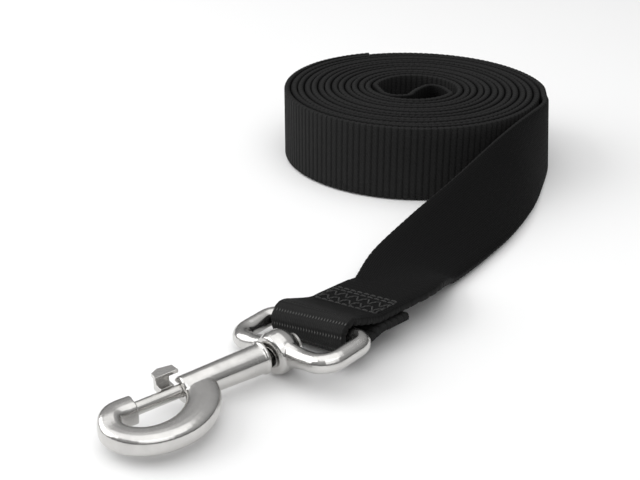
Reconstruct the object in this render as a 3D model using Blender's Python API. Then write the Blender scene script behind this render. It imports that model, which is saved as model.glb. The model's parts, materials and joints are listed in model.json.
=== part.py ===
"""Webbing lead rope: flat webbing rolled on edge, with a swivel bolt snap on its free end.

Millimetres are written as a number times MM. The table frame has its origin on the table under
the rear rim of the snap's barrel: the hook points along -Y and the roll lies behind it.
"""

import math

import bmesh
import bpy
from mathutils import Matrix, Vector

MM = 0.001

# Webbing
WEBBING_WIDTH = 25.0 * MM
WEBBING_THICKNESS = 2.1 * MM
TOUCH_GAP = 0.3 * MM

# Roll: two strands wound side by side from a fold at the middle. Its near side is the place
# on its rim that the free run passes, and its centre lies behind that
ROLL_NEAR_SIDE = Vector((-45.9 * MM, 119.4 * MM, 0.0))
ROLL_NEAR_HEADING = math.radians(-12.5)
ROLL_RADIUS = 46.5 * MM
LAYER_GAP = 0.33 * MM
ROLL_LAYERS = 14
RUN_HEADING = math.radians(-37.5)
SHORT_END_TURN = 0.70
LOOSENESS = 0.6 * MM

# The strand across the hole: (right, back) as shares of the hole's radius
FOLD_STRAND = ((-0.69, -0.74), (-0.42, -0.80), (-0.17, -0.68), (-0.02, -0.42), (0.19, -0.05),
               (0.43, 0.16), (0.66, 0.14), (0.83, -0.05), (0.93, -0.37))

# Free run, from the roll to the snap. Past the roll: share of a turn round it, then room
# outside its rim and height, both as shares of the width, then degrees turned over
RUN_PAST_ROLL = (
    (0.065, 0.060, 0.508, 6.0),
    (0.130, 0.188, 0.488, 23.0),
    (0.181, 0.544, 0.412, 42.0),
)
# Then place in x and y, height as a share of the width, degrees turned over
RUN_TO_SNAP = (
    (-25.8, 98.3, 0.344, 54.0),
    (-20.4, 79.0, 0.260, 66.0),
    (-15.5, 62.0, 0.196, 81.0),
)
LEAD_OUT = 8.0 * MM

# Loop of webbing through the eye
LOOP_ROOM = 0.3 * MM
LAYERS_MEET = 9.0 * MM
STITCHED_END = 22.0 * MM
TAIL_END = 19.5 * MM
TAIL_SIDESTEP = 0.5 * MM
LOOP_SIDESTEP = -0.4 * MM
LOOP_BEND_STEPS = 16

# Placing of the snap
TABLE_GAP = 0.05 * MM
SNAP_PITCH = math.radians(0.6)
SNAP_ROLL = math.radians(2.5)
EYE_YAW = math.radians(9.0)
EYE_ROLL = math.radians(9.0)
EYE_PITCH = math.radians(3.6)
LOOP_PITCH = math.radians(-5.6)
CENTRING = Vector((60.538 * MM, -65.541 * MM, 0.0))

# Strap eye
EYE_SIDE_ROOM = 1.2 * MM
EYE_ROD_RADIUS = 2.4 * MM
HUB_CENTRE = 4.65 * MM
HUB_RADIUS = 5.5 * MM
HUB_HALF_LENGTH = 3.4 * MM
HUB_TO_NEAR_BAR = -0.15 * MM
HUB_TO_FAR_BAR = 13.65 * MM
NEAR_CORNER_RADIUS = 4.6 * MM
FAR_CORNER_RADIUS = 3.2 * MM
SHOULDER_SWELL = 0.3 * MM
SHOULDER_RISE = 2.4 * MM
SHOULDER_REACH = 6.5 * MM

# Barrel and bolt
BARREL_LENGTH = 22.5 * MM
BARREL_REAR_RADIUS = 3.75 * MM
BARREL_MOUTH_RADIUS = 3.25 * MM
RIM_RADIUS = BARREL_REAR_RADIUS + 0.4 * MM
RIM_LENGTH = 1.1 * MM
BOLT_RADIUS = 1.55 * MM
PISTON_RADIUS = BOLT_RADIUS + 0.5 * MM
PISTON_LENGTH = 1.8 * MM
SLIDE_CLEARANCE = 0.06 * MM
BOLT_TRAVEL = 8.5 * MM
STOP_GAP = 0.2 * MM
SOCKET_DEPTH = 1.0 * MM
GATE_LENGTH = 11.8 * MM
FRONT_BORE_LENGTH = 6.3 * MM

# Swivel pin
PIN_RADIUS = 1.7 * MM
PIN_HEAD_RADIUS = 2.7 * MM
PIN_HEAD_LENGTH = 1.4 * MM
PIN_PLAY = 0.35 * MM
PIN_END_GAP = 0.3 * MM
PIN_ROOM = 0.15 * MM
SKIRT_LIP = 0.8 * MM
EYE_END_HEAD_RADIUS = 3.0 * MM
EYE_END_HEAD_LENGTH = 1.0 * MM

# Thumb piece
THUMB_START = 0.6 * MM
THUMB_LENGTH = 3.4 * MM
SLOT_WIDTH = 2.3 * MM
THUMB_SIDE_CLEARANCE = 0.2 * MM
THUMB_CAP_HEIGHT = BARREL_MOUTH_RADIUS + 0.05 * MM
THUMB_CAP_THICKNESS = 0.9 * MM
SPIGOT_RADIUS = 0.55 * MM

# Spring
SPRING_WIRE_RADIUS = 0.19 * MM
SPRING_COILS = 7
SPRING_RADIUS = PISTON_RADIUS - 0.39 * MM

# Hook: (ahead of the rim, across, half width) along the middle of its round bar, from its root
HOOK_STATIONS = ((18.6, 0.4, 3.9), (19.2, 4.4, 4.0), (22.0, 8.6, 3.9), (26.4, 11.6, 3.7),
                 (31.4, 12.7, 3.35), (36.4, 11.8, 3.05), (40.2, 9.0, 2.85), (41.9, 5.0, 2.75),
                 (41.0, 1.6, 2.65), (38.6, -0.1, 2.8))
HOOK_HALF_THICKNESS = 2.55 * MM
HOOK_SQUARENESS = 3.2
TIP_RADIUS = 2.9 * MM

ROUND_STEPS = 32


def clear_scene():
    for obj in list(bpy.data.objects):
        bpy.data.objects.remove(obj, do_unlink=True)


def make_material(name, colour, metallic, roughness):
    material = bpy.data.materials.new(name)
    material.use_nodes = True
    shader = material.node_tree.nodes["Principled BSDF"]
    shader.inputs["Base Color"].default_value = (*colour, 1.0)
    shader.inputs["Metallic"].default_value = metallic
    shader.inputs["Roughness"].default_value = roughness
    return material


def black_nylon(name):
    return make_material(name, (0.012, 0.012, 0.013), 0.0, 0.75)


def nickel(name):
    return make_material(name, (0.72, 0.70, 0.66), 1.0, 0.16)


def spring_steel(name):
    return make_material(name, (0.45, 0.45, 0.46), 1.0, 0.3)


def make_empty(name, matrix, parent=None):
    empty = bpy.data.objects.new(name, None)
    bpy.context.scene.collection.objects.link(empty)
    empty.parent = parent
    empty.matrix_local = matrix
    return empty


def make_object(name, bm, parent, material=None, smooth_degrees=40.0):
    """Turns a bmesh into an object. One with no material is a cutter."""
    bmesh.ops.recalc_face_normals(bm, faces=bm.faces)
    mesh = bpy.data.meshes.new(name)
    bm.to_mesh(mesh)
    bm.free()
    obj = bpy.data.objects.new(name, mesh)
    bpy.context.scene.collection.objects.link(obj)
    obj.parent = parent
    if material is None:
        obj.hide_render = True
        obj.display_type = "WIRE"
    else:
        mesh.materials.append(material)
        mesh.shade_smooth()
        mesh.set_sharp_from_angle(angle=math.radians(smooth_degrees))
    return obj


def combine(obj, other, operation):
    modifier = obj.modifiers.new(operation.lower() + "_" + other.name, "BOOLEAN")
    modifier.operation = operation
    modifier.object = other
    modifier.solver = "EXACT"


def smooth_path(points, steps, closed=False):
    """Points along a Catmull-Rom curve through the given points, with that many steps per span."""
    count = len(points)
    spans = count if closed else count - 1
    path = []
    for span in range(spans):
        if closed:
            a, b, c, d = (points[(span + k) % count] for k in (-1, 0, 1, 2))
        else:
            b = points[span]
            c = points[span + 1]
            a = points[span - 1] if span > 0 else b * 2 - c
            d = points[span + 2] if span + 2 < count else c * 2 - b
        for step in range(steps):
            t = step / steps
            path.append(
                0.5 * (2 * b + (c - a) * t + (2 * a - 5 * b + 4 * c - d) * t**2
                       + (3 * b - a - 3 * c + d) * t**3)
            )
    if not closed:
        path.append(points[-1].copy())
    return path


def bridge_rings(bm, rings, closed):
    """Joins rings of points of equal count with quads, and caps the ends of an open run."""
    rings = [[bm.verts.new(point) for point in ring] for ring in rings]
    size = len(rings[0])
    pairs = list(zip(rings, rings[1:]))
    if closed:
        pairs.append((rings[-1], rings[0]))
    for first, second in pairs:
        for k in range(size):
            bm.faces.new((first[k], first[(k + 1) % size], second[(k + 1) % size], second[k]))
    if not closed:
        bm.faces.new(list(reversed(rings[0])))
        bm.faces.new(rings[-1])


def turned_solid(profile, steps=ROUND_STEPS):
    """A solid turned about the Y axis. The profile is a list of (y, radius)."""
    bm = bmesh.new()
    angles = [2 * math.pi * k / steps for k in range(steps)]
    rings = [
        [(radius * math.cos(a), y, radius * math.sin(a)) for a in angles]
        for y, radius in profile
    ]
    bridge_rings(bm, rings, closed=False)
    return bm


def extruded_solid(outline, low, high):
    """An outline in X and Y, raised from z = low to z = high."""
    bm = bmesh.new()
    bridge_rings(
        bm,
        [[(p[0], p[1], low) for p in outline], [(p[0], p[1], high) for p in outline]],
        closed=False,
    )
    return bm


def box_solid(low, high):
    bm = bmesh.new()
    size = Vector(high) - Vector(low)
    middle = (Vector(high) + Vector(low)) / 2
    matrix = Matrix.Translation(middle) @ Matrix.Diagonal((*size, 1.0))
    bmesh.ops.create_cube(bm, size=1.0, matrix=matrix)
    return bm


def signed_power(value, power):
    return math.copysign(abs(value) ** power, value)


def tube_solid(path, radii, closed, sides=16, up_radii=None, squareness=2.0):
    """A tube along a path that lies flat in X and Y, or climbs only gently.

    It is round or oval at squareness 2, and nearer to a box with round edges above that.
    """
    bm = bmesh.new()
    up_radii = up_radii or radii
    count = len(path)
    rings = []
    for i, point in enumerate(path):
        before = path[(i - 1) % count] if closed or i > 0 else path[0]
        after = path[(i + 1) % count] if closed or i < count - 1 else path[-1]
        along = (after - before).normalized()
        side = along.cross(Vector((0.0, 0.0, 1.0))).normalized()
        up = side.cross(along)
        ring = []
        for k in range(sides):
            angle = 2 * math.pi * k / sides
            sideways = radii[i] * signed_power(math.cos(angle), 2 / squareness)
            upwards = up_radii[i] * signed_power(math.sin(angle), 2 / squareness)
            ring.append(point + side * sideways + up * upwards)
        rings.append(ring)
    bridge_rings(bm, rings, closed)
    return bm


def strip_solid(stations):
    """Webbing along stations of (middle, direction across its width, direction through it)."""
    bm = bmesh.new()
    wide = WEBBING_WIDTH / 2
    thick = WEBBING_THICKNESS / 2
    rings = [
        [
            middle + across * wide + through * thick,
            middle + across * wide - through * thick,
            middle - across * wide - through * thick,
            middle - across * wide + through * thick,
        ]
        for middle, across, through in stations
    ]
    bridge_rings(bm, rings, closed=False)
    return bm


# Roll


def roll_direction(turn):
    """Unit vector from the roll's centre, a share of a turn after the free run's start."""
    angle = RUN_HEADING + math.pi / 2 - 2 * math.pi * turn
    return Vector((math.cos(angle), math.sin(angle), 0.0))


def layer_pitch():
    return WEBBING_THICKNESS + LAYER_GAP


def hole_radius():
    return ROLL_RADIUS - ROLL_LAYERS * layer_pitch()


def roll_centre():
    inward = math.pi + ROLL_NEAR_HEADING
    return ROLL_NEAR_SIDE + Vector((math.cos(inward), math.sin(inward), 0.0)) * ROLL_RADIUS


def roll_outer_radius(turn):
    """The short strand is outermost until its end, and then the strand of the free run."""
    growth = 2 * layer_pitch() * turn
    if turn < SHORT_END_TURN:
        return ROLL_RADIUS - layer_pitch() + growth
    eased = (turn - SHORT_END_TURN) / (1 - SHORT_END_TURN)
    return ROLL_RADIUS - 2 * layer_pitch() + growth + LOOSENESS * eased**2


def make_roll(parent):
    steps = 96
    turns = [k / steps for k in range(steps + 1)] + [SHORT_END_TURN - 1e-4, SHORT_END_TURN]
    outline = [roll_direction(t) * roll_outer_radius(t) for t in sorted(set(turns))]
    roll = make_object(
        "webbing_roll", extruded_solid(outline, 0.0, WEBBING_WIDTH), parent,
        black_nylon("webbing_roll"),
    )
    roll.location = roll_centre()
    hole = make_object(
        "roll_hole_cutter",
        extruded_solid(
            [roll_direction(k / 48) * hole_radius() for k in range(48)],
            -1 * MM, WEBBING_WIDTH + 1 * MM,
        ),
        parent,
    )
    hole.location = roll_centre()
    strand = make_object("fold_strand", strip_solid(fold_stations()), parent)
    strand.location = roll_centre()
    combine(roll, hole, "DIFFERENCE")
    combine(roll, strand, "UNION")
    return roll


def fold_stations():
    """The strand that crosses the hole, where the webbing was folded before it was rolled."""
    right = roll_direction(0.0)
    back = roll_direction(-0.25)
    points = [(right * x + back * y) * hole_radius() for x, y in FOLD_STRAND]
    path = smooth_path(points, 4)
    up = Vector((0.0, 0.0, 1.0))
    stations = []
    for i, point in enumerate(path):
        along = path[min(i + 1, len(path) - 1)] - path[max(i - 1, 0)]
        through = along.cross(up).normalized()
        stations.append((point + up * WEBBING_WIDTH / 2, up, through))
    return stations


# Free run


def run_start():
    """Middle of the webbing where it leaves the roll, just clear of it."""
    forward = roll_direction(0.25)
    layer = ROLL_RADIUS + LOOSENESS - WEBBING_THICKNESS / 2
    place = roll_centre() + roll_direction(0.0) * layer + forward * TOUCH_GAP
    return place + Vector((0.0, 0.0, WEBBING_WIDTH / 2))


def make_run(parent, loop_matrix):
    """The webbing turns over on its way: on edge at the roll, and flat at the eye."""
    end = loop_matrix @ Vector((LOOP_SIDESTEP, STITCHED_END + TOUCH_GAP, layer_offset()))
    rearward = loop_matrix.to_3x3() @ Vector((0.0, 1.0, 0.0))
    flat = 90.0 + math.degrees(EYE_ROLL)
    points = [Vector((*run_start(), 0.0))]
    led_out = run_start() + roll_direction(0.25) * LEAD_OUT
    points.append(Vector((led_out.x, led_out.y, 0.504 * WEBBING_WIDTH, 5.0)))
    for turn, room, height, lean in RUN_PAST_ROLL:
        place = roll_centre() + roll_direction(turn) * (ROLL_RADIUS + room * WEBBING_WIDTH)
        points.append(Vector((place.x, place.y, height * WEBBING_WIDTH, lean)))
    for x, y, height, lean in RUN_TO_SNAP:
        points.append(Vector((x * MM, y * MM, height * WEBBING_WIDTH, lean)))
    points.append(Vector((*(end + rearward * LEAD_OUT), flat)))
    points.append(Vector((*end, flat)))
    path = smooth_path(points, 6)
    places = [Vector(point[:3]) for point in path]
    stations = []
    for i, point in enumerate(path):
        along = (places[min(i + 1, len(path) - 1)] - places[max(i - 1, 0)]).normalized()
        if i == len(path) - 1:
            along = -rearward
        side = along.cross(Vector((0.0, 0.0, 1.0))).normalized()
        up = side.cross(along)
        lean = math.radians(point[3])
        across = up * math.cos(lean) + side * math.sin(lean)
        stations.append((places[i], across, along.cross(across)))
    return make_object("webbing_run", strip_solid(stations), parent, black_nylon("webbing_run"))


# Loop through the eye


def layer_offset():
    """Height of each layer's middle from the plane between the two layers."""
    return (WEBBING_THICKNESS + TOUCH_GAP) / 2


def loop_inner_radius():
    return EYE_ROD_RADIUS + LOOP_ROOM


def loop_path():
    """(y, z) of the webbing's middle, from the top layer's end round the bar, behind the bar."""
    bend = loop_inner_radius() + WEBBING_THICKNESS / 2
    rise = layer_offset()
    lift = math.acos((bend - rise) / LAYERS_MEET * 0.5)
    path = [Vector((STITCHED_END, rise, 0.0)), Vector((LAYERS_MEET + 2 * MM, rise, 0.0))]
    path.append(Vector((LAYERS_MEET, rise + 0.1 * MM, 0.0)))
    for k in range(LOOP_BEND_STEPS + 1):
        angle = lift + (2 * math.pi - 2 * lift) * k / LOOP_BEND_STEPS
        path.append(Vector((bend * math.cos(angle), bend * math.sin(angle), 0.0)))
    path.append(Vector((LAYERS_MEET, -rise - 0.1 * MM, 0.0)))
    return path


def flat_stations(path):
    """Stations of webbing whose width lies along X, from a path of (y, z)."""
    across = Vector((1.0, 0.0, 0.0))
    stations = []
    for i, point in enumerate(path):
        step = path[min(i + 1, len(path) - 1)] - path[max(i - 1, 0)]
        along = Vector((0.0, step[0], step[1])).normalized()
        stations.append((Vector((0.0, point[0], point[1])), across, along.cross(across)))
    return stations


def make_loop(parent):
    loop = make_object(
        "webbing_eye_loop", strip_solid(flat_stations(loop_path())), parent,
        black_nylon("webbing_eye_loop"),
    )
    loop.location = (LOOP_SIDESTEP, 0.0, 0.0)
    return loop


def make_tail(parent):
    start = LAYERS_MEET + TOUCH_GAP + 0.15 * WEBBING_THICKNESS
    path = [Vector((start, -layer_offset(), 0.0)), Vector((TAIL_END, -layer_offset(), 0.0))]
    tail = make_object(
        "webbing_tail", strip_solid(flat_stations(path)), parent, black_nylon("webbing_tail")
    )
    tail.location = (TAIL_SIDESTEP, 0.0, 0.0)
    return tail


# Strap eye


def corner_arc(centre, radius, start_degrees, end_degrees, steps=6):
    points = []
    for k in range(steps + 1):
        angle = math.radians(start_degrees + (end_degrees - start_degrees) * k / steps)
        points.append(centre + Vector((math.cos(angle), math.sin(angle), 0.0)) * radius)
    return points


def eye_path():
    """Middle of the eye's rod: a rectangle with round corners, open at the hub."""
    side = WEBBING_WIDTH / 2 + EYE_SIDE_ROOM + EYE_ROD_RADIUS
    near = HUB_TO_NEAR_BAR
    far = HUB_TO_FAR_BAR
    shoulder = [
        Vector((x * SHOULDER_REACH, near, 0.0)) for x in (0.0, 0.25, 0.5, 0.75, 1.0, 1.2, 1.4)
    ]
    right = shoulder
    right += corner_arc(
        Vector((side - NEAR_CORNER_RADIUS, near + NEAR_CORNER_RADIUS, 0.0)),
        NEAR_CORNER_RADIUS, -90.0, 0.0,
    )
    right += corner_arc(
        Vector((side - FAR_CORNER_RADIUS, far - FAR_CORNER_RADIUS, 0.0)),
        FAR_CORNER_RADIUS, 0.0, 90.0,
    )
    left = [Vector((-p.x, p.y, 0.0)) for p in reversed(right[1:])]
    return right + left


def shoulder_share(point):
    """1 at the hub, falling to 0 where the near bar is plain rod."""
    on_near_bar = point.y < HUB_TO_NEAR_BAR + 0.1 * MM
    reach = min(abs(point.x) / (1.4 * SHOULDER_REACH), 1.0)
    return (1.0 - reach) ** 1.5 if on_near_bar else 0.0


def pin_bore_radius():
    """Room for the pin when the eye is turned aside as far as it lies."""
    return PIN_RADIUS + hub_back() * math.sin(eye_tilt()) + PIN_ROOM


def hub_back():
    """How far the hub, or the near bar if that is further, reaches behind the hub's middle."""
    return max(HUB_HALF_LENGTH, HUB_TO_NEAR_BAR + EYE_ROD_RADIUS + SHOULDER_SWELL)


def eye_tilt():
    """Angle between the eye's hub and the pin."""
    return math.hypot(EYE_YAW, EYE_PITCH)


def make_eye(parent):
    path = eye_path()
    shares = [shoulder_share(point) for point in path]
    rod = tube_solid(
        path, [EYE_ROD_RADIUS + SHOULDER_SWELL * share for share in shares], closed=True,
        sides=20, up_radii=[EYE_ROD_RADIUS + SHOULDER_RISE * share for share in shares],
    )
    eye = make_object("strap_eye", rod, parent, nickel("strap_eye"))
    shape = ((-1.0, 0.68), (-0.84, 0.89), (-0.45, 0.98), (0.0, 1.0), (0.42, 0.96), (0.8, 0.83),
             (1.0, 0.66))
    hub = make_object(
        "hub_form",
        turned_solid([(y * HUB_HALF_LENGTH, r * HUB_RADIUS) for y, r in shape]),
        parent,
    )
    length = 2 * HUB_RADIUS
    bore = make_object(
        "hub_bore_cutter",
        turned_solid([(-length, pin_bore_radius()), (length, pin_bore_radius())]),
        parent,
    )
    combine(eye, hub, "UNION")
    combine(eye, bore, "DIFFERENCE")
    return eye


# Snap: y is the distance behind the rear rim, so the hook is at negative y


def bore_radius():
    return PISTON_RADIUS + SLIDE_CLEARANCE


def pin_inner_head_end():
    return SKIRT_LIP + TOUCH_GAP + PIN_HEAD_LENGTH


def bore_step():
    """How far ahead of the rim the bore narrows to guide the bolt."""
    return BARREL_LENGTH - FRONT_BORE_LENGTH


def piston_front():
    return bore_step() - STOP_GAP


def make_hook_form(parent):
    """An oval bar that sweeps from the barrel's side round to a tip that faces the barrel."""
    tip = Vector((0.0, -BARREL_LENGTH - GATE_LENGTH, 0.0))
    middles = [Vector((c, -s, 0.0)) * MM for s, c, half in HOOK_STATIONS] + [tip]
    halves = [half * MM for s, c, half in HOOK_STATIONS] + [TIP_RADIUS]
    thick = [HOOK_HALF_THICKNESS] * (len(HOOK_STATIONS) - 2) + [TIP_RADIUS] * 3
    points = [Vector((m.x, m.y, h, t)) for m, h, t in zip(middles, halves, thick)]
    path = smooth_path(points, 4)
    bm = tube_solid(
        [Vector((p[0], p[1], 0.0)) for p in path], [p[2] for p in path], closed=False,
        sides=24, up_radii=[p[3] for p in path], squareness=HOOK_SQUARENESS,
    )
    return make_object("snap_body", bm, parent, nickel("snap_body"))


def make_barrel_form(parent):
    profile = [
        (0.0, RIM_RADIUS - 0.35 * MM),
        (-0.25 * MM, RIM_RADIUS),
        (-RIM_LENGTH + 0.3 * MM, RIM_RADIUS),
        (-RIM_LENGTH, BARREL_REAR_RADIUS),
        (-BARREL_LENGTH + 0.4 * MM, BARREL_MOUTH_RADIUS),
        (-BARREL_LENGTH, BARREL_MOUTH_RADIUS - 0.35 * MM),
    ]
    return make_object("barrel_form", turned_solid(profile), parent)


def make_bore_cutter(parent):
    """The pin's lip and pocket, the piston's bore and the bolt's guide, in one stepped cutter."""
    pocket_end = pin_inner_head_end() + 0.1 * MM
    head_pocket = PIN_HEAD_RADIUS + 0.1 * MM
    profile = [
        (1.0 * MM, PIN_RADIUS + PIN_PLAY),
        (-SKIRT_LIP, PIN_RADIUS + PIN_PLAY),
        (-SKIRT_LIP, head_pocket),
        (-pocket_end, head_pocket),
        (-pocket_end, bore_radius()),
        (-bore_step(), bore_radius()),
        (-bore_step(), BOLT_RADIUS + SLIDE_CLEARANCE),
        (-BARREL_LENGTH - 2 * MM, BOLT_RADIUS + SLIDE_CLEARANCE),
    ]
    return make_object("bore_cutter", turned_solid(profile), parent)


def make_slot_cutter(parent):
    front = BARREL_LENGTH + 1 * MM
    rear = BARREL_LENGTH + THUMB_START - BOLT_TRAVEL - TOUCH_GAP
    bm = box_solid(
        (-2 * RIM_RADIUS, -front, -SLOT_WIDTH / 2), (-0.2 * MM, -rear, SLOT_WIDTH / 2)
    )
    return make_object("slot_cutter", bm, parent)


def make_socket_cutter(parent):
    start = BARREL_LENGTH + GATE_LENGTH
    radius = BOLT_RADIUS + 0.15 * MM
    profile = [(-start + 1 * MM, radius), (-start - SOCKET_DEPTH, radius)]
    return make_object("socket_cutter", turned_solid(profile), parent)


def make_snap_body(parent):
    body = make_hook_form(parent)
    combine(body, make_barrel_form(parent), "UNION")
    combine(body, make_bore_cutter(parent), "DIFFERENCE")
    combine(body, make_slot_cutter(parent), "DIFFERENCE")
    combine(body, make_socket_cutter(parent), "DIFFERENCE")
    return body


def make_swivel_pin(parent):
    inner_start = SKIRT_LIP + TOUCH_GAP
    turned_aside = EYE_END_HEAD_RADIUS * math.sin(eye_tilt())
    head_start = HUB_CENTRE + hub_back() + turned_aside + PIN_END_GAP
    profile = [
        (-pin_inner_head_end(), PIN_HEAD_RADIUS),
        (-inner_start, PIN_HEAD_RADIUS),
        (-inner_start, PIN_RADIUS),
        (head_start, PIN_RADIUS),
        (head_start, EYE_END_HEAD_RADIUS),
        (head_start + 0.6 * EYE_END_HEAD_LENGTH, EYE_END_HEAD_RADIUS),
        (head_start + EYE_END_HEAD_LENGTH, 0.6 * EYE_END_HEAD_RADIUS),
    ]
    return make_object("swivel_pin", turned_solid(profile), parent, nickel("swivel_pin"))


def make_spring(parent):
    wire = SPRING_WIRE_RADIUS
    start = pin_inner_head_end() + wire + 0.1 * MM
    end = piston_front() - PISTON_LENGTH - wire - 0.1 * MM
    steps = SPRING_COILS * 14
    path = []
    for k in range(steps + 1):
        angle = 2 * math.pi * SPRING_COILS * k / steps
        y = -start - (end - start) * k / steps
        path.append(Vector((SPRING_RADIUS * math.cos(angle), SPRING_RADIUS * math.sin(angle), y)))
    bm = tube_solid(path, [wire] * len(path), closed=False, sides=6)
    bmesh.ops.rotate(bm, verts=bm.verts, cent=(0, 0, 0), matrix=Matrix.Rotation(math.pi / 2, 3, "X"))
    bmesh.ops.scale(bm, verts=bm.verts, vec=(1.0, -1.0, 1.0))
    return make_object("bolt_spring", bm, parent, spring_steel("bolt_spring"))


def make_bolt(parent):
    front = piston_front()
    tip = BARREL_LENGTH + GATE_LENGTH + SOCKET_DEPTH - 0.1 * MM
    profile = [
        (-front + PISTON_LENGTH, PISTON_RADIUS),
        (-front, PISTON_RADIUS),
        (-front, BOLT_RADIUS),
        (-tip + 0.4 * MM, BOLT_RADIUS),
        (-tip, BOLT_RADIUS - 0.4 * MM),
    ]
    bolt = make_object("bolt", turned_solid(profile), parent, nickel("bolt"))
    hole = make_object("spigot_hole_cutter", spigot_solid(0.05 * MM, 0.25 * MM), parent)
    combine(bolt, hole, "DIFFERENCE")
    return bolt


def thumb_middle():
    return BARREL_LENGTH + THUMB_START + THUMB_LENGTH / 2


def spigot_solid(clearance, depth):
    """The thumb piece's peg, or the hole for it in the bolt, along X."""
    bm = turned_solid(
        [(0.0, SPIGOT_RADIUS + clearance), (2.2 * MM, SPIGOT_RADIUS + clearance)], 12
    )
    bmesh.ops.rotate(bm, verts=bm.verts, cent=(0, 0, 0), matrix=Matrix.Rotation(math.pi / 2, 3, "Z"))
    bmesh.ops.translate(bm, verts=bm.verts, vec=(depth, -thumb_middle(), 0.0))
    return bm


def make_thumb_piece(parent):
    rear = BARREL_LENGTH + THUMB_START
    front = rear + THUMB_LENGTH
    half = SLOT_WIDTH / 2 - THUMB_SIDE_CLEARANCE
    inside = -BOLT_RADIUS - 0.06 * MM
    wall_in = -BARREL_REAR_RADIUS
    wall_out = wall_in - 1.3 * MM
    cap_low = THUMB_CAP_HEIGHT
    cap_high = THUMB_CAP_HEIGHT + THUMB_CAP_THICKNESS
    post = box_solid((wall_out, -front, -half), (inside, -rear, half))
    thumb = make_object("thumb_piece", post, parent, nickel("thumb_piece"))
    wall = box_solid((wall_out, -front, 0.0), (wall_in, -rear, cap_low + 0.3 * MM))
    outline = [
        Vector((wall_in + 1.55 * MM, -rear + 1.6 * MM, 0.0)),
        Vector((wall_out + 0.35 * MM, -rear + 1.3 * MM, 0.0)),
        Vector((wall_out - 0.25 * MM, -front + 1.2 * MM, 0.0)),
        Vector((wall_out + 0.7 * MM, -front - 0.8 * MM, 0.0)),
        Vector((wall_in + 1.55 * MM, -front - 1.0 * MM, 0.0)),
    ]
    combine(thumb, make_object("thumb_wall_form", wall, parent), "UNION")
    cap = make_object("thumb_cap_form", extruded_solid(outline, cap_low, cap_high), parent)
    combine(thumb, cap, "UNION")
    combine(thumb, make_object("spigot_form", spigot_solid(0.0, 0.0), parent), "UNION")
    return thumb


def turned_matrix(place, pitch, yaw, roll):
    """A place, and a turn about X, then Z, then the part's own Y."""
    yawed = Matrix.Rotation(yaw, 4, "Z") @ Matrix.Rotation(pitch, 4, "X")
    return Matrix.Translation(place) @ yawed @ Matrix.Rotation(roll, 4, "Y")


def axis_height():
    """Height of the snap's axis at which the loop's low corner just clears the table."""
    half_width = WEBBING_WIDTH / 2 * math.sin(EYE_ROLL)
    bar_height = loop_inner_radius() + WEBBING_THICKNESS + half_width + TABLE_GAP
    return bar_height - HUB_TO_FAR_BAR * math.sin(EYE_PITCH)


def main():
    clear_scene()
    table = make_empty("table_frame", Matrix.Translation(CENTRING))
    hub = Vector((0.0, HUB_CENTRE, axis_height()))
    eye_matrix = turned_matrix(hub, EYE_PITCH, EYE_YAW, -EYE_ROLL)
    far_bar = Matrix.Translation((0.0, HUB_TO_FAR_BAR, 0.0))
    loop_matrix = eye_matrix @ far_bar @ Matrix.Rotation(LOOP_PITCH, 4, "X")
    snap_matrix = turned_matrix((0.0, 0.0, axis_height()), SNAP_PITCH, 0.0, SNAP_ROLL)
    make_roll(table)
    make_run(table, loop_matrix)
    loop_frame = make_empty("loop_frame", loop_matrix, table)
    make_loop(loop_frame)
    make_tail(loop_frame)
    make_eye(make_empty("eye_frame", eye_matrix, table))
    snap = make_empty("snap_frame", snap_matrix, table)
    make_snap_body(snap)
    make_swivel_pin(snap)
    make_spring(snap)
    make_bolt(snap)
    make_thumb_piece(snap)


main()
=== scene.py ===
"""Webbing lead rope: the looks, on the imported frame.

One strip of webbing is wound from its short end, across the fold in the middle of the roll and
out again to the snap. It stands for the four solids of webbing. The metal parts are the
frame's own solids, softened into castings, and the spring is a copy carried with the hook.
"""

import json
import math

import bpy
import numpy as np
from mathutils import Matrix, Vector


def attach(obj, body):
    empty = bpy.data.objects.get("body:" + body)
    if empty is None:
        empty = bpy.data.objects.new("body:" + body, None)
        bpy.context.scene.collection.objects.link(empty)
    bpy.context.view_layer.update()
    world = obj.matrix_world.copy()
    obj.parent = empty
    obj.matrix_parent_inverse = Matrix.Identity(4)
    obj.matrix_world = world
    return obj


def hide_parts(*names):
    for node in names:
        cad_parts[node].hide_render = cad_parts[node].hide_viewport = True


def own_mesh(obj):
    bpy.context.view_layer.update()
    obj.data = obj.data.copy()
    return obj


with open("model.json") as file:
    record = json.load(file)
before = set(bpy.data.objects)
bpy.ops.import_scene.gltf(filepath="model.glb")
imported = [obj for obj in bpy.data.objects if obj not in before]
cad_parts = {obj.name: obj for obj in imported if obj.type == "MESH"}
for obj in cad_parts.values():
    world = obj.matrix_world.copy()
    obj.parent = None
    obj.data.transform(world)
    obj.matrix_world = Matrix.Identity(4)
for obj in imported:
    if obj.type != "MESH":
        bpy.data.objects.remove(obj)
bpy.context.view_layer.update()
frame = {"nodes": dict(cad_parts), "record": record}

MM = 0.001

# Sizes and places that part.py gives too
WIDTH = 25.0 * MM
THICKNESS = 2.1 * MM
PITCH = 2.43 * MM
ROLL_RADIUS = 46.5 * MM
NEAR_SIDE = Vector((-45.9 * MM, 119.4 * MM, 0.0))
NEAR_HEADING = math.radians(-12.5)
RUN_HEADING = math.radians(-37.5)
SHORT_END_TURN = 0.70
LOOSENESS = 0.6 * MM
RUN_PAST_ROLL = (
    (0.065, 0.060, 0.508, 6.0),
    (0.130, 0.188, 0.488, 23.0),
    (0.181, 0.544, 0.412, 42.0),
)
RUN_TO_SNAP = (
    (-25.8, 98.3, 0.344, 54.0),
    (-20.4, 79.0, 0.260, 66.0),
    (-15.5, 62.0, 0.196, 81.0),
)
LEAD_OUT = 8.0 * MM
LOOP_INNER_RADIUS = 2.7 * MM
LAYER_OFFSET = (THICKNESS + 0.3 * MM) / 2
LAYERS_MEET = 9.0 * MM
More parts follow.
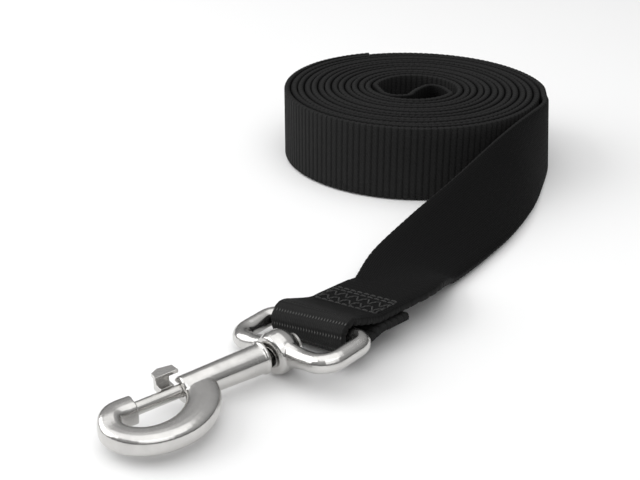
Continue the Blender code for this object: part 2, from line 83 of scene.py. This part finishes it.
STITCHED_END = 22.0 * MM
TAIL_END = 19.5 * MM
TAIL_SIDESTEP = 0.5 * MM
LOOP_SIDESTEP = -0.4 * MM
LOOP_PITCH = math.radians(-5.6)
EYE_YAW = math.radians(9.0)
EYE_ROLL = math.radians(9.0)
EYE_PITCH = math.radians(3.6)

# The strand across the hole, from the short strand to the free run's: (right, back), in mm
FOLD_STRAND = ((11.4, -3.5), (10.3, -0.6), (8.2, 1.8), (5.6, 2.4), (2.4, -0.6), (-0.5, -5.2),
               (-2.1, -8.7), (-5.0, -9.8), (-8.8, -9.3), (-11.5, -6.4))
SHORT_STRAND_START_TURN = -5.919
FREE_STRAND_START_TURN = -5.467
FREE_STRAND_END_TURN = 0.995

# Weave
RIB_PITCH = 2.1 * MM
RIB_DEPTH = 0.26 * MM
OPEN_RIB_PITCH = 2.9 * MM
FINE_RIB_PITCH = 0.85 * MM
FINE_RIB_DEPTH = 0.05 * MM
BEND_RIB_DEPTH = 0.30 * MM
INNER_FACE_DEPTH = 0.16 * MM
BEND_REACH = 7.0 * MM
SCALLOP = 0.16 * MM
EDGE_ROUNDING = 0.05
SEALED_LENGTH = 1.6 * MM
PRESSED_LENGTH = 22.0 * MM
PRESSED_BY = 0.9
FACE_POINTS = 9

JOINTS = {joint["name"]: joint for joint in frame["record"]["behaviour"]["joints"]}
TABLE_ORIGIN = Vector((*JOINTS["snap_swivel"]["pos_m"][:2], 0.0))


# Paths


def direction(turn):
    """Unit vector from the roll's centre, a share of a turn after the free run's start."""
    angle = RUN_HEADING + math.pi / 2 - 2 * math.pi * turn
    return Vector((math.cos(angle), math.sin(angle), 0.0))


def roll_centre():
    inward = math.pi + NEAR_HEADING
    side = Vector((math.cos(inward), math.sin(inward), 0.0))
    return TABLE_ORIGIN + NEAR_SIDE + side * ROLL_RADIUS


def smooth_path(points, steps):
    """Points along a Catmull-Rom curve through the given points."""
    path = []
    for span in range(len(points) - 1):
        b = points[span]
        c = points[span + 1]
        a = points[span - 1] if span > 0 else b * 2 - c
        d = points[span + 2] if span + 2 < len(points) else c * 2 - b
        for step in range(steps):
            t = step / steps
            path.append(
                0.5 * (2 * b + (c - a) * t + (2 * a - 5 * b + 4 * c - d) * t**2
                       + (3 * b - a - 3 * c + d) * t**3)
            )
    path.append(points[-1].copy())
    return path


def spiral(outer, start, end):
    """Stations of webbing on edge, wound from one turn to another. outer is the radius at 0."""
    stations = []
    steps = int(abs(end - start) * 360)
    for k in range(steps + 1):
        turn = start + (end - start) * k / steps
        eased = max(turn - SHORT_END_TURN, 0.0) / (1 - SHORT_END_TURN)
        wobble = 0.06 * MM * math.sin(31.0 * turn + 1.3) + 0.05 * MM * math.sin(12.3 * turn)
        radius = outer + 2 * PITCH * turn + LOOSENESS * eased**2 + wobble
        lift = 0.15 * MM * (1 + math.sin(4.1 * turn + 0.6 * math.sin(17.0 * turn)))
        middle = roll_centre() + direction(turn) * radius
        middle.z = WIDTH / 2 + lift
        stations.append((middle, Vector((0.0, 0.0, 1.0))))
    return stations


def fold():
    points = [Vector((x, y, 0.0)) * MM for x, y in FOLD_STRAND]
    right = direction(0.0)
    back = direction(-0.25)
    up = Vector((0.0, 0.0, 1.0))
    middles = smooth_path([roll_centre() + right * p.x + back * p.y for p in points], 12)
    return [(m + up * (WIDTH / 2 + 0.2 * MM), up) for m in middles]


def loop_frame():
    place = Vector(JOINTS["eye_hinge"]["pos_m"])
    yawed = Matrix.Rotation(EYE_YAW, 4, "Z") @ Matrix.Rotation(EYE_PITCH, 4, "X")
    eye = Matrix.Translation(place) @ yawed @ Matrix.Rotation(-EYE_ROLL, 4, "Y")
    return eye @ Matrix.Rotation(LOOP_PITCH, 4, "X")


def run():
    """The webbing turns over on its way: on edge at the roll, and flat at the eye."""
    end = loop_frame() @ Vector((LOOP_SIDESTEP, STITCHED_END, LAYER_OFFSET))
    rearward = loop_frame().to_3x3() @ Vector((0.0, 1.0, 0.0))
    flat = 90.0 + math.degrees(EYE_ROLL)
    forward = direction(0.25)
    start = roll_centre() + direction(0.0) * (ROLL_RADIUS + LOOSENESS - THICKNESS / 2)
    start.z = WIDTH / 2
    led_out = start + forward * LEAD_OUT
    points = [Vector((*start, 0.0)), Vector((led_out.x, led_out.y, 0.504 * WIDTH, 5.0))]
    for turn, room, height, lean in RUN_PAST_ROLL:
        place = roll_centre() + direction(turn) * (ROLL_RADIUS + room * WIDTH)
        points.append(Vector((place.x, place.y, height * WIDTH, lean)))
    for x, y, height, lean in RUN_TO_SNAP:
        place = TABLE_ORIGIN + Vector((x * MM, y * MM, height * WIDTH))
        points.append(Vector((*place, lean)))
    points.append(Vector((*(end + rearward * LEAD_OUT), flat)))
    points.append(Vector((*end, flat)))
    path = smooth_path(points, 16)
    places = [Vector(point[:3]) for point in path]
    stations = []
    for i, point in enumerate(path):
        along = (places[min(i + 1, len(path) - 1)] - places[max(i - 1, 0)]).normalized()
        side = along.cross(Vector((0.0, 0.0, 1.0))).normalized()
        up = side.cross(along)
        lean = math.radians(point[3])
        stations.append((places[i], up * math.cos(lean) + side * math.sin(lean)))
    return stations


def loop_and_tail():
    """From the sewn end of the top layer, round the bar, and back under it to the tail's end."""
    bend = LOOP_INNER_RADIUS + THICKNESS / 2
    lift = math.acos((bend - LAYER_OFFSET) / LAYERS_MEET * 0.5)
    top = [Vector((y * MM, LAYER_OFFSET)) for y in (21.0, 17.0, 13.0)]
    points = top + [Vector((LAYERS_MEET, LAYER_OFFSET + 0.1 * MM))]
    for k in range(25):
        angle = lift + (2 * math.pi - 2 * lift) * k / 24
        points.append(Vector((bend * math.cos(angle), bend * math.sin(angle))))
    points.append(Vector((LAYERS_MEET, -LAYER_OFFSET - 0.1 * MM)))
    points += [Vector((y * MM, -LAYER_OFFSET)) for y in (13.0, 16.0)]
    points.append(Vector((TAIL_END, -LAYER_OFFSET)))
    matrix = loop_frame()
    across = matrix.to_3x3() @ Vector((-1.0, 0.0, 0.0))
    path = smooth_path(points, 8)
    stations = []
    for i, point in enumerate(path):
        share = i / (len(path) - 1)
        sidestep = LOOP_SIDESTEP + (TAIL_SIDESTEP - LOOP_SIDESTEP) * share
        stations.append((matrix @ Vector((sidestep, point.x, point.y)), across))
    return stations


# Webbing


def lengths(points):
    steps = np.linalg.norm(np.diff(points, axis=0), axis=1)
    return np.concatenate([[0.0], np.cumsum(steps)])


def strip_stations():
    """Middle and across of the whole strip, its length so far, and which stretch each is on."""
    parts = [
        spiral(ROLL_RADIUS - PITCH - THICKNESS / 2, SHORT_END_TURN, SHORT_STRAND_START_TURN),
        fold(),
        spiral(ROLL_RADIUS - 2 * PITCH - THICKNESS / 2, FREE_STRAND_START_TURN, FREE_STRAND_END_TURN),
        run()[1:],
        loop_and_tail(),
    ]
    middles = np.array([tuple(m) for part in parts for m, across in part])
    acrosses = np.array([tuple(across) for part in parts for m, across in part])
    stretch = np.concatenate([[k] * len(part) for k, part in enumerate(parts)])
    return middles, acrosses, lengths(middles), stretch


def station_lengths(so_far, stretch):
    """Where to put rings: close where the ribs show, and wider inside the roll."""
    close = 0.2 * MM
    medium = 0.3 * MM
    wide = 0.45 * MM
    first = so_far[stretch == 0]
    free = so_far[stretch == 2]
    marks = [
        (0.0, medium),
        (0.42, wide),
        (first[-1] - 0.12, medium),
        (free[0] + 0.12, wide),
        (free[-1] - 0.30, medium),
        (so_far[stretch == 3][0], close),
        (so_far[-1], close),
    ]
    places = []
    for (start, step), (end, _) in zip(marks, marks[1:]):
        count = int((end - start) / step)
        places.append(start + (end - start) * np.arange(count) / count)
    return np.concatenate(places + [[so_far[-1]]])


def smoothed(values, window):
    """A moving average that keeps both ends."""
    padded = np.concatenate([[values[0]] * window, values, [values[-1]] * window])
    kernel = np.ones(2 * window + 1) / (2 * window + 1)
    return np.convolve(padded, kernel, "valid")


def unit(vectors):
    return vectors / np.linalg.norm(vectors, axis=1)[:, None]


def section():
    """Across and through the strip, from -1 to 1, round its edge, and which face each is on."""
    flat = np.linspace(-1, 1, FACE_POINTS) * (1 - EDGE_ROUNDING)
    angles = np.radians([50.0, 0.0, -50.0])
    edge_a = (1 - EDGE_ROUNDING) + EDGE_ROUNDING * np.cos(angles)
    edge_b = np.sin(angles)
    a = np.concatenate([flat, edge_a, flat[::-1], -edge_a])
    b = np.concatenate([np.ones(FACE_POINTS), edge_b, -np.ones(FACE_POINTS), -edge_b])
    return a, b


def rib(phase, sharpness=0.65):
    """Rounded ribs with narrow grooves between them, from 0 to 1."""
    return np.abs(np.sin(np.pi * phase)) ** sharpness


def make_webbing():
    middles, acrosses, so_far, stretch = strip_stations()
    at = station_lengths(so_far, stretch)
    middle = np.column_stack([np.interp(at, so_far, middles[:, k]) for k in range(3)])
    across = np.column_stack([np.interp(at, so_far, acrosses[:, k]) for k in range(3)])
    for k in range(3):
        middle[:, k] = smoothed(middle[:, k], 3)
        across[:, k] = smoothed(across[:, k], 6)
    along = unit(np.gradient(middle, at, axis=0))
    across = unit(across - along * np.sum(along * across, axis=1)[:, None])
    through = np.cross(along, across)
    run_start = so_far[stretch == 3][0]
    bend_middle = np.interp(0.5, (stretch == 4).cumsum() / (stretch == 4).sum(), so_far)
    opened = np.clip(1.6 - np.abs(at - bend_middle) / BEND_REACH, 0.0, 1.0)
    on_run = np.clip((at - run_start) / (20 * MM), 0.0, 1.0)
    sealed = np.clip(1 - np.minimum(at, at[-1] - at) / SEALED_LENGTH, 0.0, 1.0)
    ribs = rib(at / RIB_PITCH)
    fine = rib(at / FINE_RIB_PITCH)
    near_depth = RIB_DEPTH * (1 - sealed)
    far_depth = np.maximum(
        FINE_RIB_DEPTH * on_run, BEND_RIB_DEPTH * opened
    ) * (1 - sealed) + INNER_FACE_DEPTH * (1 - on_run)
    near = near_depth * (1 - ribs)
    open_ribs = rib(at / OPEN_RIB_PITCH, 0.45)
    far = far_depth * (1 - np.where(opened > 0.3, open_ribs, np.where(on_run > 0.5, fine, ribs)))
    a, b = section()
    half = THICKNESS / 2
    face_plus = np.clip(b, 0, 1)
    face_minus = np.clip(-b, 0, 1)
    depth = near[:, None] * face_plus + far[:, None] * face_minus
    pressed = np.clip(1 - at / PRESSED_LENGTH, 0.0, 1.0) ** 1.5 * PRESSED_BY
    b_place = b[None, :] * half - np.sign(b)[None, :] * depth
    b_place = np.where(b_place > 0, b_place * (1 - pressed[:, None]), b_place)
    b_place = b_place - pressed[:, None] * PITCH * 0.12
    on_edge = np.clip((np.abs(a) - 0.9) / 0.1, 0, 1)
    a_place = a[None, :] * (WIDTH / 2) - np.sign(a)[None, :] * on_edge[None, :] * (
        SCALLOP * (1 - ribs) * (1 - sealed))[:, None]
    points = (
        middle[:, None, :]
        + across[:, None, :] * a_place[:, :, None]
        + through[:, None, :] * b_place[:, :, None]
    )
    crest = 1 - depth / RIB_DEPTH
    weave = np.stack(
        [np.broadcast_to(a_place, depth.shape), np.broadcast_to(at[:, None], depth.shape),
         np.broadcast_to(b[None, :], depth.shape)], axis=2,
    )
    values = {
        "crest": np.clip(crest, 0, 1),
        "opened": opened[:, None] * face_minus[None, :],
        "sealed": np.broadcast_to(sealed[:, None], depth.shape),
    }
    webbing = ring_mesh("webbing", points)
    store(webbing, "weave", weave.reshape(-1, 3), "FLOAT_VECTOR")
    for name, value in values.items():
        store(webbing, name, np.ascontiguousarray(value).reshape(-1), "FLOAT")
    return webbing, float(at[-1])


def ring_mesh(name, points):
    """An object from rings of points of equal count, joined with quads and capped."""
    rings, size = points.shape[:2]
    k = np.arange(size)
    next_k = (k + 1) % size
    base = np.arange(rings - 1)[:, None] * size
    quads = np.stack(
        [base + k, base + next_k, base + size + next_k, base + size + k], axis=2
    ).reshape(-1, 4)
    faces = quads[:, ::-1].tolist()
    faces.append(list(range(size)))
    faces.append(list(range((rings - 1) * size, rings * size))[::-1])
    mesh = bpy.data.meshes.new(name)
    mesh.from_pydata(points.reshape(-1, 3).tolist(), [], faces)
    mesh.update()
    mesh.shade_smooth()
    obj = bpy.data.objects.new(name, mesh)
    bpy.context.scene.collection.objects.link(obj)
    return obj


def store(obj, name, values, kind):
    attribute = obj.data.attributes.new(name, kind, "POINT")
    key = "vector" if kind == "FLOAT_VECTOR" else "value"
    attribute.data.foreach_set(key, np.asarray(values, np.float32).reshape(-1))


# Stitching

THREAD_RADIUS = 0.26 * MM
STITCH_LENGTH = 2.3 * MM
STITCH_SIDES = 8
STITCH_STEPS = 7
STITCH_GAP = 0.06
SUNK_BY = 0.24 * MM
BOW_HEIGHT = 0.30 * MM

# The sewn part in the loop's own frame, in mm
SEWN_LEFT = -10.6
SEWN_RIGHT = 10.4
SEWN_NEAR = 10.2
SEWN_FAR = 18.6
SECOND_ROW = 1.3
ZIGZAGS = ((0.9, 3.2), (3.6, 6.4))
ZIGZAG_STITCHES = 11


def stitch_rows():
    """Lines of stitches on the sewn part, as (x, y) pairs in the loop's own frame."""
    left, right, near, far = SEWN_LEFT, SEWN_RIGHT, SEWN_NEAR, SEWN_FAR
    rows = [
        [(left, near), (right, near)],
        [(left, far), (right, far)],
        [(left, far - SECOND_ROW), (right, far - SECOND_ROW)],
        [(left, near), (left, far)],
        [(right, near), (right, far)],
    ]
    for low, high in ZIGZAGS:
        rows.append([
            (left + (right - left) * k / ZIGZAG_STITCHES, near + (high if k % 2 else low))
            for k in range(ZIGZAG_STITCHES + 1)
        ])
    return rows


def stitches_of(row):
    """Splits a line into stitches, each a (start, end) pair."""
    found = []
    for start, end in zip(row, row[1:]):
        start = Vector(start) * MM
        end = Vector(end) * MM
        count = max(1, round((end - start).length / STITCH_LENGTH))
        for k in range(count):
            low = start.lerp(end, (k + STITCH_GAP) / count)
            high = start.lerp(end, (k + 1 - STITCH_GAP) / count)
            found.append((low, high))
    return found


def make_stitching():
    """Each stitch is a short bowed thread whose ends go down into the webbing."""
    rings = []
    matrix = loop_frame()
    top = LAYER_OFFSET + THICKNESS / 2
    for side in (1.0, -1.0):
        for row in stitch_rows():
            for start, end in stitches_of(row):
                along = (end - start).normalized()
                beside = Vector((-along.y, along.x, 0.0))
                rings.append([
                    stitch_ring(matrix, start, end, beside, side * top, side, k)
                    for k in range(STITCH_STEPS)
                ])
    return joined_tubes("eye_stitching", rings)


def stitch_ring(matrix, start, end, beside, height, side, k):
    share = k / (STITCH_STEPS - 1)
    middle = start.lerp(end, share)
    bow = math.sin(math.pi * share) ** 0.5
    sunk = height + side * (bow * BOW_HEIGHT - SUNK_BY)
    sidestep = LOOP_SIDESTEP if side > 0 else TAIL_SIDESTEP
    radius = THREAD_RADIUS * (0.75 + 0.25 * bow)
    ring = []
    for j in range(STITCH_SIDES):
        angle = 2 * math.pi * j / STITCH_SIDES
        offset = beside * math.cos(angle) + Vector((0.0, 0.0, 1.0)) * math.sin(angle)
        place = Vector((middle.x + sidestep, middle.y, sunk)) + offset * radius
        ring.append(tuple(matrix @ place))
    return ring


def joined_tubes(name, tubes):
    """One mesh of many short capped tubes."""
    points = []
    faces = []
    for rings in tubes:
        size = len(rings[0])
        first = len(points)
        for ring in rings:
            points += ring
        for i in range(len(rings) - 1):
            for j in range(size):
                a = first + i * size + j
                b = first + i * size + (j + 1) % size
                faces.append((a, b, b + size, a + size))
        last = first + (len(rings) - 1) * size
        faces.append(tuple(range(first, first + size))[::-1])
        faces.append(tuple(range(last, last + size)))
    mesh = bpy.data.meshes.new(name)
    mesh.from_pydata(points, [], faces)
    mesh.update()
    mesh.shade_smooth()
    obj = bpy.data.objects.new(name, mesh)
    bpy.context.scene.collection.objects.link(obj)
    return obj


# Materials


class Nodes:
    """A material's nodes, added and linked by short calls."""

    def __init__(self, name):
        self.material = bpy.data.materials.new(name)
        self.material.use_nodes = True
        self.tree = self.material.node_tree
        self.shader = self.tree.nodes["Principled BSDF"]

    def add(self, kind, settings=None, **inputs):
        node = self.tree.nodes.new("ShaderNode" + kind)
        for key, value in (settings or {}).items():
            setattr(node, key, value)
        for key, value in inputs.items():
            self.set(node, key.replace("_", " "), value)
        return node

    def set(self, node, key, value):
        socket = node.inputs[int(key)] if key.isdigit() else node.inputs[key]
        if isinstance(value, bpy.types.NodeSocket):
            self.tree.links.new(value, socket)
        else:
            socket.default_value = value

    def maths(self, operation, first, second=0.0, clamp=False):
        node = self.add("Math", {"operation": operation, "use_clamp": clamp})
        self.set(node, "0", first)
        self.set(node, "1", second)
        return node.outputs[0]

    def mix(self, share, first, second):
        node = self.add("Mix", {"data_type": "RGBA"})
        self.set(node, "0", share)
        node.inputs[6].default_value = (0, 0, 0, 1)
        for index, value in ((6, first), (7, second)):
            if isinstance(value, bpy.types.NodeSocket):
                self.tree.links.new(value, node.inputs[index])
            else:
                node.inputs[index].default_value = (*value, 1.0)
        return node.outputs[2]

    def attribute(self, name):
        return self.add("Attribute", {"attribute_name": name})

    def noise(self, vector, scale, detail=3.0):
        node = self.add("TexNoise", Vector=vector, Scale=scale, Detail=detail)
        return node.outputs["Fac"]

    def waves(self, vector, period, distortion=0.0, axis="X"):
        """Bands that repeat every period along an axis of the vector, which is in metres."""
        node = self.add(
            "TexWave", {"bands_direction": axis}, Vector=vector, Scale=math.pi / 10 / period,
            Distortion=distortion, Detail=2.0,
        )
        return node.outputs["Fac"]

    def ramp(self, value, low, high):
        node = self.add("MapRange", {"clamp": True}, Value=value)
        self.set(node, "From Min", low)
        self.set(node, "From Max", high)
        return node.outputs[0]

    def finish(self, colour, roughness, heights, **uniform):
        """Sets the shader. heights is a list of (height socket, distance in metres)."""
        self.set(self.shader, "Base Color", colour)
        self.set(self.shader, "Roughness", roughness)
        for key, value in uniform.items():
            self.shader.inputs[key.replace("_", " ")].default_value = value
        normal = None
        for height, distance in heights:
            bump = self.add("Bump", Height=height, Distance=distance, Strength=1.0)
            if normal is not None:
                self.set(bump, "Normal", normal)
            normal = bump.outputs[0]
        self.set(self.shader, "Normal", normal)
        return self.material


def webbing_material():
    n = Nodes("black_nylon_webbing")
    weave = n.attribute("weave").outputs["Vector"]
    crest = n.attribute("crest").outputs["Fac"]
    opened = n.attribute("opened").outputs["Fac"]
    sealed = n.attribute("sealed").outputs["Fac"]
    split = n.add("SeparateXYZ", Vector=weave)
    edge = n.maths("SUBTRACT", 1.0, n.maths("ABSOLUTE", split.outputs[2]))
    flat = n.add("CombineXYZ", X=split.outputs[0], Y=split.outputs[1]).outputs[0]
    turned = n.add("Mapping", Vector=flat)
    turned.inputs["Rotation"].default_value = (0.0, 0.0, math.radians(24.0))
    warp = n.waves(flat, 0.62 * MM, 1.2)
    twill = n.waves(turned.outputs[0], 0.80 * MM, 0.8, "Y")
    picks = n.waves(flat, 1.05 * MM, 0.6, "Y")
    blotches = n.noise(flat, 260.0)
    grain = n.noise(flat, 5200.0, 2.0)
    groove = n.ramp(n.maths("SUBTRACT", 1.0, crest), 0.35, 0.85)
    ladder = n.maths("MULTIPLY", groove, opened)
    # Partly painted highlight: the ladder threads in the opened grooves are real and bumped, but
    # their light grey stands in for light catching them.
    lit_ladder_dashes = n.maths("MULTIPLY", n.ramp(n.waves(flat, 0.95 * MM), 0.55, 0.85), ladder)
    # Painted shade: the far face, where the weave isn't opened, is darkened below.
    back = n.maths("MULTIPLY", split.outputs[2], -1.0, clamp=True)
    painted_shade_far_face = n.maths("MULTIPLY", back, n.maths("SUBTRACT", 1.0, opened))
    # Painted highlight and painted shade: rib crests are painted lighter and the grooves between them
    # near black.
    colour = n.mix(crest, (0.003, 0.003, 0.003), (0.015, 0.015, 0.015))
    colour = n.mix(n.maths("MULTIPLY", blotches, 0.30), colour, (0.022, 0.022, 0.022))
    colour = n.mix(n.maths("MULTIPLY", n.ramp(grain, 0.45, 0.75), 0.30), colour,
                   (0.036, 0.036, 0.035))
    # Painted shade: the strip's edges, which are the roll's top, are mixed darker.
    colour = n.mix(n.maths("MULTIPLY", n.ramp(edge, 0.2, 1.0), 0.30), colour,
                   (0.010, 0.010, 0.010))
    # Painted shade: the far face mixed near black.
    colour = n.mix(n.maths("MULTIPLY", painted_shade_far_face, 0.90), colour, (0.0020, 0.0020, 0.0021))
    # Painted highlight: the ladder threads mixed light grey.
    colour = n.mix(lit_ladder_dashes, colour, (0.11, 0.11, 0.108))
    colour = n.mix(n.maths("MULTIPLY", sealed, 0.8), colour, (0.004, 0.004, 0.004))
    roughness = n.maths("SUBTRACT", 0.78, n.maths("MULTIPLY", sealed, 0.4))
    heights = [(warp, 0.07 * MM), (twill, 0.05 * MM), (picks, 0.05 * MM),
               (grain, 0.05 * MM), (lit_ladder_dashes, 0.12 * MM)]
    return n.finish(colour, roughness, heights, Sheen_Weight=0.01, Sheen_Roughness=0.4,
                    Specular_IOR_Level=0.10)


def thread_material():
    n = Nodes("black_thread")
    place = n.add("TexCoord").outputs["Object"]
    twist = n.waves(place, 0.5 * MM, 0.5)
    grain = n.noise(place, 4000.0, 2.0)
    colour = n.mix(twist, (0.008, 0.008, 0.008), (0.030, 0.030, 0.029))
    return n.finish(colour, n.maths("ADD", 0.5, n.maths("MULTIPLY", grain, 0.2)),
                    [(twist, 0.05 * MM)], Sheen_Weight=0.05, Specular_IOR_Level=0.35)


def metal_material(name, tint, low, high, waviness):
    """Plated or drawn metal: faint waviness, fine scratches, and smudges in the gloss."""
    n = Nodes(name)
    place = n.add("TexCoord").outputs["Object"]
    smudge = n.noise(place, 180.0)
    waves = n.noise(place, 420.0, 1.0)
    stretched = n.add("Mapping", Vector=place)
    stretched.inputs["Scale"].default_value = (1.0, 0.12, 1.0)
    scratches = n.noise(stretched.outputs[0], 9000.0, 2.0)
    darker = tuple(channel * 0.86 for channel in tint)
    colour = n.mix(n.ramp(smudge, 0.35, 0.7), tint, darker)
    fine = n.maths("MULTIPLY", n.ramp(scratches, 0.45, 0.8), 0.08)
    roughness = n.add("MapRange", Value=smudge)
    n.set(roughness, "From Min", 0.3)
    n.set(roughness, "From Max", 0.7)
    n.set(roughness, "To Min", low)
    n.set(roughness, "To Max", high)
    rough = n.maths("ADD", roughness.outputs[0], fine)
    return n.finish(colour, rough, [(waves, waviness), (scratches, 0.002 * MM)], Metallic=1.0)


# Castings


def soften(node, voxel, passes):
    """Rounds a solid's facets and edges, as plating over a casting does."""
    remesh = node.modifiers.new("close_skin", "REMESH")
    remesh.mode = "VOXEL"
    remesh.voxel_size = voxel
    remesh.use_smooth_shade = True
    smooth = node.modifiers.new("round_edges", "SMOOTH")
    smooth.factor = 0.5
    smooth.iterations = passes


def make_spring():
    """The spring as a copy of the frame's solid, carried with the hook."""
    node = frame["nodes"]["bolt_spring"]
    coil = bpy.data.objects.new("coil_spring", node.data.copy())
    coil.matrix_world = node.matrix_world
    bpy.context.scene.collection.objects.link(coil)
    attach(coil, "hook")
    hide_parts("bolt_spring")
    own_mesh(coil)
    return coil


def give(node, material):
    if node.material_slots:
        for material_slot in node.material_slots:
            material_slot.material = material
    else:
        node.data.materials.append(material)


# Stage

SENSOR_WIDTH = 36.0
LENS = 59.22
CAMERA_FROM_SNAP = Vector((0.17657, -0.11847, 0.13846))
CAMERA_TILT = math.radians(64.37)
CAMERA_TURN = math.radians(52.5)
FLOOR_HALF_WIDTH = 3.0
FLOOR_DEPTH = 0.05 * MM
WORLD_STRENGTH = 0.7
WORLD_GREYS = ((0.0, 0.03), (0.09, 0.07), (0.24, 0.36), (0.60, 0.62), (1.0, 0.90))


def make_floor():
    mesh = bpy.data.meshes.new("floor")
    half = FLOOR_HALF_WIDTH
    mesh.from_pydata([(-half, -half, 0), (half, -half, 0), (half, half, 0), (-half, half, 0)],
                     [], [(0, 1, 2, 3)])
    floor = bpy.data.objects.new("floor", mesh)
    bpy.context.scene.collection.objects.link(floor)
    floor.location.z = -FLOOR_DEPTH
    material = bpy.data.materials.new("white_table")
    material.use_nodes = True
    shader = material.node_tree.nodes["Principled BSDF"]
    shader.inputs["Base Color"].default_value = (0.92, 0.92, 0.92, 1.0)
    shader.inputs["Roughness"].default_value = 0.9
    mesh.materials.append(material)


def make_light(name, place, size, power, target=Vector((0.0, 0.0, 0.01))):
    data = bpy.data.lights.new(name, "AREA")
    data.shape = "RECTANGLE"
    data.size, data.size_y = size
    data.energy = power
    light = bpy.data.objects.new(name, data)
    light.location = place
    light.rotation_euler = (target - Vector(place)).to_track_quat("-Z", "Y").to_euler()
    bpy.context.scene.collection.objects.link(light)
    return light


def make_world():
    """Dark at and below the horizon and pale overhead, for the metal to reflect."""
    world = bpy.data.worlds.new("studio")
    bpy.context.scene.world = world
    world.use_nodes = True
    tree = world.node_tree
    background = tree.nodes["Background"]
    coordinates = tree.nodes.new("ShaderNodeTexCoord")
    split = tree.nodes.new("ShaderNodeSeparateXYZ")
    ramp = tree.nodes.new("ShaderNodeValToRGB")
    path = tree.nodes.new("ShaderNodeLightPath")
    mix = tree.nodes.new("ShaderNodeMix")
    mix.data_type = "RGBA"
    tree.links.new(coordinates.outputs["Generated"], split.inputs[0])
    tree.links.new(split.outputs[2], ramp.inputs[0])
    elements = ramp.color_ramp.elements
    elements[1].position = 1.0
    for position, _ in WORLD_GREYS[1:-1]:
        elements.new(position)
    for element, (position, grey) in zip(elements, WORLD_GREYS):
        element.position = position
        element.color = (grey, grey, grey, 1.0)
    tree.links.new(path.outputs["Is Camera Ray"], mix.inputs[0])
    tree.links.new(ramp.outputs[0], mix.inputs[6])
    mix.inputs[7].default_value = (1.0, 1.0, 1.0, 1.0)
    tree.links.new(mix.outputs[2], background.inputs[0])
    background.inputs[1].default_value = WORLD_STRENGTH


def make_camera():
    data = bpy.data.cameras.new("camera")
    data.sensor_width = SENSOR_WIDTH
    data.lens = LENS
    data.clip_start = 0.01
    camera = bpy.data.objects.new("camera", data)
    camera.location = TABLE_ORIGIN + CAMERA_FROM_SNAP
    camera.rotation_euler = (CAMERA_TILT, 0.0, CAMERA_TURN)
    bpy.context.scene.collection.objects.link(camera)
    bpy.context.scene.camera = camera


# Building

webbing, strip_length = make_webbing()
stitching = make_stitching()
webbing.data.materials.append(webbing_material())
stitching.data.materials.append(thread_material())
for piece in (webbing, stitching):
    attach(piece, "webbing")
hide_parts("webbing_roll", "webbing_run", "webbing_eye_loop", "webbing_tail")

nickel = metal_material("bright_nickel", (0.64, 0.63, 0.615), 0.15, 0.24, 0.015 * MM)
bolt_nickel = metal_material("bolt_nickel", (0.62, 0.61, 0.59), 0.16, 0.24, 0.008 * MM)
spring = metal_material("drawn_spring_wire", (0.45, 0.45, 0.46), 0.25, 0.35, 0.004 * MM)
nodes = frame["nodes"]
soften(nodes["snap_body"], 0.16 * MM, 10)
soften(nodes["strap_eye"], 0.18 * MM, 10)
soften(nodes["thumb_piece"], 0.07 * MM, 6)
for name in ("snap_body", "strap_eye", "thumb_piece"):
    give(nodes[name], nickel)
for name in ("swivel_pin", "bolt"):
    give(nodes[name], bolt_nickel)
give(make_spring(), spring)

make_floor()
make_light("key", (-0.60, -0.65, 0.55), (1.1, 0.8), 6.5)
make_light("top", (0.00, -0.10, 1.00), (1.6, 1.2), 5.5)
make_light("fill", (0.75, -0.30, 0.70), (0.8, 0.8), 2.0)
make_world()
make_camera()
bpy.context.scene.view_settings.view_transform = "Standard"
